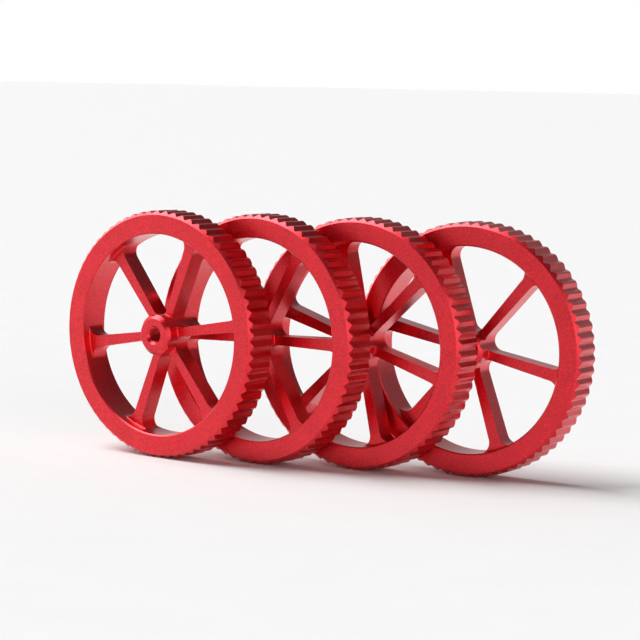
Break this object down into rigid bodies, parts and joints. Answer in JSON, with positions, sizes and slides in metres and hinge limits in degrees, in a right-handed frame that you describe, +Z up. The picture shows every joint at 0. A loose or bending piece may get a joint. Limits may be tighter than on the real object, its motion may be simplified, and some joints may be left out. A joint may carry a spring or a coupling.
{
  "type": "bed-levelling handwheel set",
  "caption": "Row of spoked, knurled aluminium thumb wheels with threaded centres, for levelling a 3-D printer's bed by hand.",
  "frame": {"origin": "on the floor, at the middle of the row's outline seen from above", "axes": "+X along the row from wheel_1 to wheel_4, -Y the way the wheels' fronts face, +Z up"},
  "size_m": [0.1306, 0.039, 0.06],
  "materials": {
    "red_anodised_aluminium": "bead blasted and anodised red, satin"
  },
  "bodies": {
    "wheel_1_body": {"wheel_1": "red_anodised_aluminium"},
    "wheel_2_body": {"wheel_2": "red_anodised_aluminium"},
    "wheel_3_body": {"wheel_3": "red_anodised_aluminium"},
    "wheel_4_body": {"wheel_4": "red_anodised_aluminium"}
  },
  "joints": [
    {"name": "wheel_2_turn", "type": "hinge", "parent": "wheel_1_body", "child": "wheel_2_body", "pos_m": [-0.01255, -0.00676, 0.03], "axis": [-0.0471, -0.9989, 0], "continuous": true},
    {"name": "wheel_3_turn", "type": "hinge", "parent": "wheel_1_body", "child": "wheel_3_body", "pos_m": [0.01026, 0.00251, 0.03], "axis": [0.0105, -0.9999, 0], "continuous": true},
    {"name": "wheel_4_turn", "type": "hinge", "parent": "wheel_1_body", "child": "wheel_4_body", "pos_m": [0.03528, 0.0124, 0.03], "axis": [0.0715, -0.9974, 0], "continuous": true}
  ]
}
